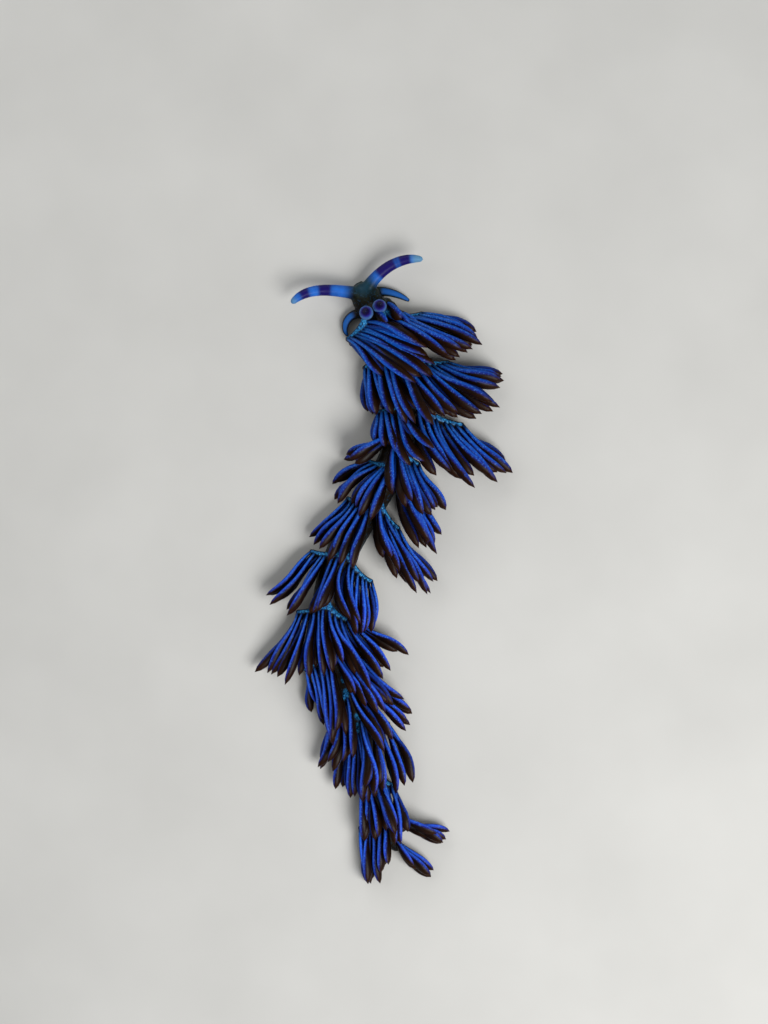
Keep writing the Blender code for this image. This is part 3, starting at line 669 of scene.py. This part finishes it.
def blade_path(cluster, share, sway, lift, length_share, row):
    """Centreline of one ceras: it leaves the crest, rises, bends over and ends almost level."""
    station, side, _, inner, outer, lengths, _ = cluster
    back, out = directions(station, side)
    fanned = LOWER_ROW_SPREAD * (2 * share - 1) * row
    bearings = [between(pair, share) + sway[0] + fanned for pair in zip(inner, outer)]
    flatter = LOWER_ROW_RISE if row else 1
    rise = [(between(pair, share**RISE_POWER) + sway[1]) * flatter for pair in zip(INNER_RISE, OUTER_RISE)]
    length = np.interp(share, (0, 0.5, 1), lengths) * length_share

    def heading(t):
        bend = sway[3] * math.sin(math.tau * (t + sway[4]))
        turn = math.radians(np.interp(t, (0, 0.5, 1), bearings) + bend)
        steep = math.radians(min(between(rise, t) + lift * (1 - LIFT_FADE * t), STEEPEST))
        return (back * math.cos(turn) + out * math.sin(turn)) * math.cos(steep) + UP * math.sin(steep)

    start = crest_point(cluster, share)
    if row:
        start += back * LOWER_ROW_BACK - UP * min(LOWER_ROW_DROP, LOWER_ROW_DROP_SHARE * start.z)
    points = [start]
    step = (length + ROOT_LENGTH) / BLADE_STEPS
    for n in range(BLADE_STEPS):
        ahead = heading((n + 0.5) / BLADE_STEPS)
        points.append(points[-1] + ahead * step * min(LONGEST_STRETCH, 1 / ahead.xy.length))
    return points


def is_clear(path, half_depth, surfaces):
    """Whether a ceras along the path keeps off the floor and off the surfaces behind it."""
    for n, point in enumerate(path):
        share = n / (len(path) - 1)
        if share < ROOT_SHARE:
            continue
        thick = half_depth * min(1.0, ROOT_THICKNESS + ROOT_THICKENS * share, TIP_THINS * (TIP_END - share))
        if point.z < thick + FLOOR_GAP:
            return False
        reach = max(SOFTNESS * thick, THINNEST)
        if any(surface.find_nearest(point, reach)[0] is not None for surface in surfaces):
            return False
    return True


def lay_blade(path, half_width, half_depth, leans):
    """The modelled blade bent along a path, its ridge up at the root and leaning over towards the tip."""
    path = np.array(path)
    steps = np.linspace(0, 1, len(path))
    tangents = np.gradient(path, axis=0)
    tangents /= np.linalg.norm(tangents, axis=1)[:, None]
    sides = np.cross(tangents, (0, 0, 1))
    sides /= np.linalg.norm(sides, axis=1)[:, None]
    ridges = np.cross(sides, tangents)
    x, y, t = blade.points.T

    def at_height(vectors):
        return np.stack([np.interp(t, steps, vectors[:, axis]) for axis in range(3)], 1)

    middle, side, up = (at_height(vectors) for vectors in (path, sides, ridges))
    turn = np.radians(between(leans, ramp(t, LEAN_FROM, LEAN_TO)))[:, None]
    across = side * np.cos(turn) + up * np.sin(turn)
    ridge = up * np.cos(turn) - side * np.sin(turn)
    wide = (x * half_width * eggs)[:, None]
    return middle + across * wide + ridge * (y * half_depth)[:, None]


def joined(name, model, parts, patches, tones_and_shades, look):
    """One mesh from all the laid copies of a model, with its pattern map, baking map and a tone per copy:
    random tone, and for the lower row of cerata painted shade.
    """
    data = bpy.data.meshes.new(name)
    data.from_pydata((np.vstack(parts) * MM).tolist(), [], model.faces_of(len(parts)))
    pattern = np.tile(model.map, (len(parts), 1)).astype(np.float32)
    data.uv_layers.new(name="Pattern").data.foreach_set("uv", pattern.ravel())
    small = (model.map - (0.5, 0.5)) * PATCH
    baking = np.vstack([small + patch for patch in patches]).astype(np.float32)
    data.uv_layers.new(name="OFBake").data.foreach_set("uv", baking.ravel())
    tones_and_shades = np.repeat(tones_and_shades, len(model.points)).astype(np.float32)
    data.attributes.new("tone_and_shade", "FLOAT", "POINT").data.foreach_set("value", tones_and_shades)
    made = bpy.data.objects.new(name, data)
    bpy.context.scene.collection.objects.link(made)
    select(made)
    bpy.ops.object.shade_smooth()
    data.materials.append(look)
    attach(made, "root")
    return made


# Wet cerata: dark brown flesh, the gut showing through as a finer mottle, under a beaded blue ridge, its
# beads with painted glints, that turns violet towards the tip. Along the keel of the leaf-like tip runs a
# thin pale line.
GUT, CERATA_GRAIN, RIDGE_BEAD_GLINTS = 0.9, 0.16, 0.36
DIM_GREEN_LIT_FRONT, VIOLET = -30, 25

look, tree, shader = new_look("wet_cerata")
where = node(tree, "TexCoord", output="Object")
pattern = node(tree, "UVMap", uv_map="Pattern")
around = part_of(tree, pattern, "X")
length_share = part_of(tree, pattern, "Y")
tone_and_shade = marked(tree, "tone_and_shade")
gut = noise(tree, where, GUT, 5.0)
flank = hues(tree, gut, (0.3, "#060304"), (0.5, "#110704"), (0.72, "#221004"))
dusk = hues(tree, length_share, (0.0, "#03050b"), (0.35, "#080402"), (0.7, "#1a0c03"), (1.0, "#381c06"))
colour = mix(tree, 0.5, flank, dusk)
grainy = noise(tree, where, CERATA_GRAIN)
off_ridge = maths(tree, "ABSOLUTE", maths(tree, "SUBTRACT", around, 0.5))
off_ridge = maths(tree, "ADD", off_ridge, spread(tree, grainy, 0.3, 0.7, -0.022, 0.022))
rearward = spread(tree, part_of(tree, where, "Y"), DIM_GREEN_LIT_FRONT * MM, VIOLET * MM)
from_ridge = scaled(tree, off_ridge, spread(tree, rearward, 0, 1, 0.88, 1))
ridge_line = spread(tree, from_ridge, 0.155, 0.11)
fade = hues(tree, length_share, (0.0, "#505050"), (0.1, "#ffffff"), (0.8, "#f0f0f0"), (0.98, "#404040"))
course = ((0.0, "#1f84c8"), (0.2, "#1478ea"), (0.55, "#1a72ff"), (0.85, "#2a60f0"), (1.0, "#4a4ecc"))
blue = hues(tree, length_share, *course)
ridge_beads_and_glints = cells(tree, where, RIDGE_BEAD_GLINTS)
# Painted light: towards the front the blue is half darkened to deep teal, a painted shade and green ambient
# light; towards the tail it turns a little violet.
blue = mix(tree, rearward, mix(tree, 0.5, blue, "#043f80"), mix(tree, 0.22, blue, "#5a3cf0"))
# Painted shade: the blue darkens to deep violet towards both edges of the ridge, where it rounds away from
# the light, partly also the ridge's own violet edge colour.
blue = mix(tree, spread(tree, from_ridge, 0.03, 0.115, 0, 0.94), blue, "#171a78")
# Partly painted highlight: light blue specks along the ridge, the ridge's own beads with painted glints on
# them.
blue = mix(tree, spread(tree, ridge_beads_and_glints, 0.45, 0.12, 0, 0.5), blue, "#62a0fa")
blue = mix(tree, spread(tree, grainy, 0.52, 0.3, 0, 0.5), blue, "#103284")
# Darker blue by the tone: a random amount per upper blade, and the full amount on the lower row as painted
# shade under the upper row.
blue = mix(tree, scaled(tree, tone_and_shade, 0.72), blue, "#0c1f62")
colour = mix(tree, scaled(tree, ridge_line, fade), colour, blue)
keel = spread(tree, off_ridge, 0.462, 0.495, 0, 0.55)
keel_fade = spread(tree, length_share, 0.4, 0.75)
colour = mix(tree, scaled(tree, keel, keel_fade), colour, "#6274ae")
tree.links.new(colour, shader.inputs["Base Color"])
in_relief(tree, shader, grainy, 0.3, 0.08)
wet(shader, 0.42, 0.13, 0.06, 0.04)

chance = random.Random(11)
laid = {name: [] for name, _, _ in BODY_NODES}
grown = []
for cluster in sorted(CLUSTERS, key=lambda row: -row[0]):
    station, side, reach = cluster[:3]
    scale = cluster_scale(cluster)
    near = [surface for at, surface in grown if abs(at - station) < NEIGHBOURS]
    owner = next(name for name, start, end in BODY_NODES if start <= station < end)
    fan = []
    for row in (1, 0):
        for n in range(cluster[6] - row):
            place = n + 0.5 * row + chance.uniform(-ROOT_JITTER, ROOT_JITTER)
            share = min(max(place / (cluster[6] - 1), 0), 1)
            sway = [chance.uniform(-most, most) for most in SWAYS]
            length_share = chance.uniform(*LOWER_ROW_LENGTHS) if row else 1 + sway[2]
            size = scale * chance.uniform(*SIZES)
            half_width, half_depth = 0.5 * BLADE_WIDTH * size, 0.5 * BLADE_DEPTH * size
            for step in range(LIFT_TRIES + SHORTER_TRIES + 1):
                lift = min(step, LIFT_TRIES) * LIFT_STEP
                shorter = 1 - max(0, step - LIFT_TRIES) * SHORTER_STEP
                path = blade_path(cluster, share, sway, lift, length_share * shorter, row)
                if is_clear(path, half_depth, near):
                    break
            tilt = chance.uniform(-LEAN_SPREAD, LEAN_SPREAD) + LOWER_ROW_LEAN * row
            leans = [-side * (lean + tilt * part) for lean, part in zip(LEANS, LEAN_SHARES)]
            points = lay_blade(path, half_width, half_depth, leans)
            out = 0.5 + side * between(reach, share) / BODY_LENGTH + LOWER_ROW_PATCH * row
            tone_and_shade = TONES_TO * chance.random()
            # The lower row gets the full darkening, painted shade under the upper row; the upper row a
            # random tone.
            laid[owner].append((points, (station / BODY_LENGTH, out), 1 if row else tone_and_shade))
            fan.append(points)
    grown.append((station, BVHTree.FromPolygons(np.vstack(fan).tolist(), blade.faces_of(len(fan)))))
for name, parts in laid.items():
    points, roots, tones_and_shades = zip(*parts)
    blades = joined(f"cerata_{name}", blade, points, roots, tones_and_shades, look)
    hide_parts(name)

# Crest beads: the tiny turquoise warts in a patch at the inner end of each crest and in a chain along it.
# Each is a small round ball, pressed half into the skin.
BEAD_SIDES, BEAD_RING_LATITUDES, BEAD_TOP = 6, (-50, 0, 50), (1.0, 0.04)
BEADS_PER_CREST, BEAD_CROWDING, BEAD_SPREAD, BEAD_AHEAD = 26, 2.2, 0.6, 0.15
BEAD_SIZES, BEAD_FALL, BEAD_SUNK = (0.13, 0.21), (1.1, 0.8), 0.4
BEAD_FROM, BEAD_TO = 3, 4.5
BEAD_PATCH = 0.004

bead_rings = [(math.sin(math.radians(a)), math.cos(math.radians(a))) for a in BEAD_RING_LATITUDES]
bead = Model(drawn_up("bead_model", BEAD_SIDES, [*bead_rings, BEAD_TOP]))

# Wet warts: turquoise, each a little lighter or darker than the next.
look, tree, shader = new_look("wet_crest_beads")
turquoise = hues(tree, marked(tree, "tone_and_shade"), (0.0, "#14508c"), (0.5, "#2478b8"), (1.0, "#4ea8da"))
cloud = spread(tree, noise(tree, node(tree, "TexCoord", output="Object"), BLOOM), 0.4, 0.7, 0, 0.4)
tree.links.new(mix(tree, cloud, turquoise, "#0f4a78"), shader.inputs["Base Color"])
wet(shader, 0.5, 0.2, 0.1, 0.05)

surface = BVHTree.FromPolygons(co.tolist(), [list(face.vertices) for face in skin.data.polygons])
laid = []
for cluster in CLUSTERS:
    if cluster[6] <= BARE_CREST_CERATA:
        continue
    station, side, reach = cluster[:3]
    back = directions(station, side)[0]
    for _ in range(BEADS_PER_CREST):
        share = chance.random() ** BEAD_CROWDING
        off = chance.uniform(-1, 1) * between(CREST_MARK, share**CREST_MARK_POWER) * BEAD_SPREAD
        above = crest_point(cluster, share) + back * (off - BEAD_AHEAD) + UP * BEAD_FROM
        hit, normal = surface.ray_cast(above, -UP)[:2]
        size = chance.uniform(*BEAD_SIZES) * between(BEAD_FALL, share)
        if hit is None or hit.z < above.z - BEAD_TO:
            continue
        out = 0.5 + side * between(reach, share) / BODY_LENGTH - BEAD_PATCH
        turned = UP.rotation_difference(normal).to_matrix()
        points = (bead.points * size) @ np.array(turned).T + np.array(hit - normal * size * BEAD_SUNK)
        laid.append((points, (station / BODY_LENGTH, out), chance.random()))
points, roots, tones_and_shades = zip(*laid)
joined("crest_beads", bead, points, roots, tones_and_shades, look)

# Floor: a plain pale sheet of paper under the animal, wide enough to fill every view.
FLOOR_SIZE, FLOOR_CLEARANCE = 4000, 0.02
PAPER_CLOUDS = 25

bpy.ops.object.select_all(action="DESELECT")
bpy.ops.mesh.primitive_plane_add(size=FLOOR_SIZE * MM, location=(0, 0, -FLOOR_CLEARANCE * MM))
floor = bpy.context.object
floor.name = "floor"
look, tree, shader = new_look("matt_paper")
paper = noise(tree, node(tree, "TexCoord", output="Object"), PAPER_CLOUDS, 3.0)
shade = hues(tree, paper, (0.3, "#bfbeba"), (0.7, "#c6c5c1"))
tree.links.new(shade, shader.inputs["Base Color"])
shader.inputs["Roughness"].default_value = 0.9
floor.data.materials.append(look)

# Light and camera: a large soft lamp over the tail on the animal's right, a weaker one across from it,
# and the camera straight above at the distance of a close photograph, its top towards the head.
FRAME_CENTRE, FRAME_HEIGHT, FRAME_PLANE, CAMERA_RISE = (-7.33, -8.0), 170.7, 4.0, 350.0
SENSOR, NEAREST = 36, 10
LAMPS = (
    ("key_light", (-180, 160, 300), 220, 1.6),
    ("fill_light", (220, -150, 220), 260, 0.25),
    ("rim_light", (60, -320, 160), 160, 0.25),
)
for name, place, size, power in LAMPS:
    lamp = bpy.data.lights.new(name, "AREA")
    lamp.size = size * MM
    lamp.energy = power
    made = bpy.data.objects.new(name, lamp)
    made.location = Vector(place) * MM
    made.rotation_euler = (-Vector(place)).to_track_quat("-Z", "Y").to_euler()
    bpy.context.scene.collection.objects.link(made)
world = bpy.data.worlds.new("studio")
world.use_nodes = True
sky = world.node_tree.nodes["Background"]
sky.inputs["Color"].default_value = linear("#e8ecf0")
sky.inputs["Strength"].default_value = 0.25
bpy.context.scene.world = world
bpy.context.scene.view_settings.view_transform = "Standard"

camera = bpy.data.cameras.new("camera")
camera.sensor_width = SENSOR
camera.lens = SENSOR * CAMERA_RISE / FRAME_HEIGHT
camera.clip_start = NEAREST * MM
made = bpy.data.objects.new("camera", camera)
made.location = Vector((*FRAME_CENTRE, FRAME_PLANE + CAMERA_RISE)) * MM
made.rotation_euler = (0, 0, math.pi)
bpy.context.scene.collection.objects.link(made)
bpy.context.scene.camera = made
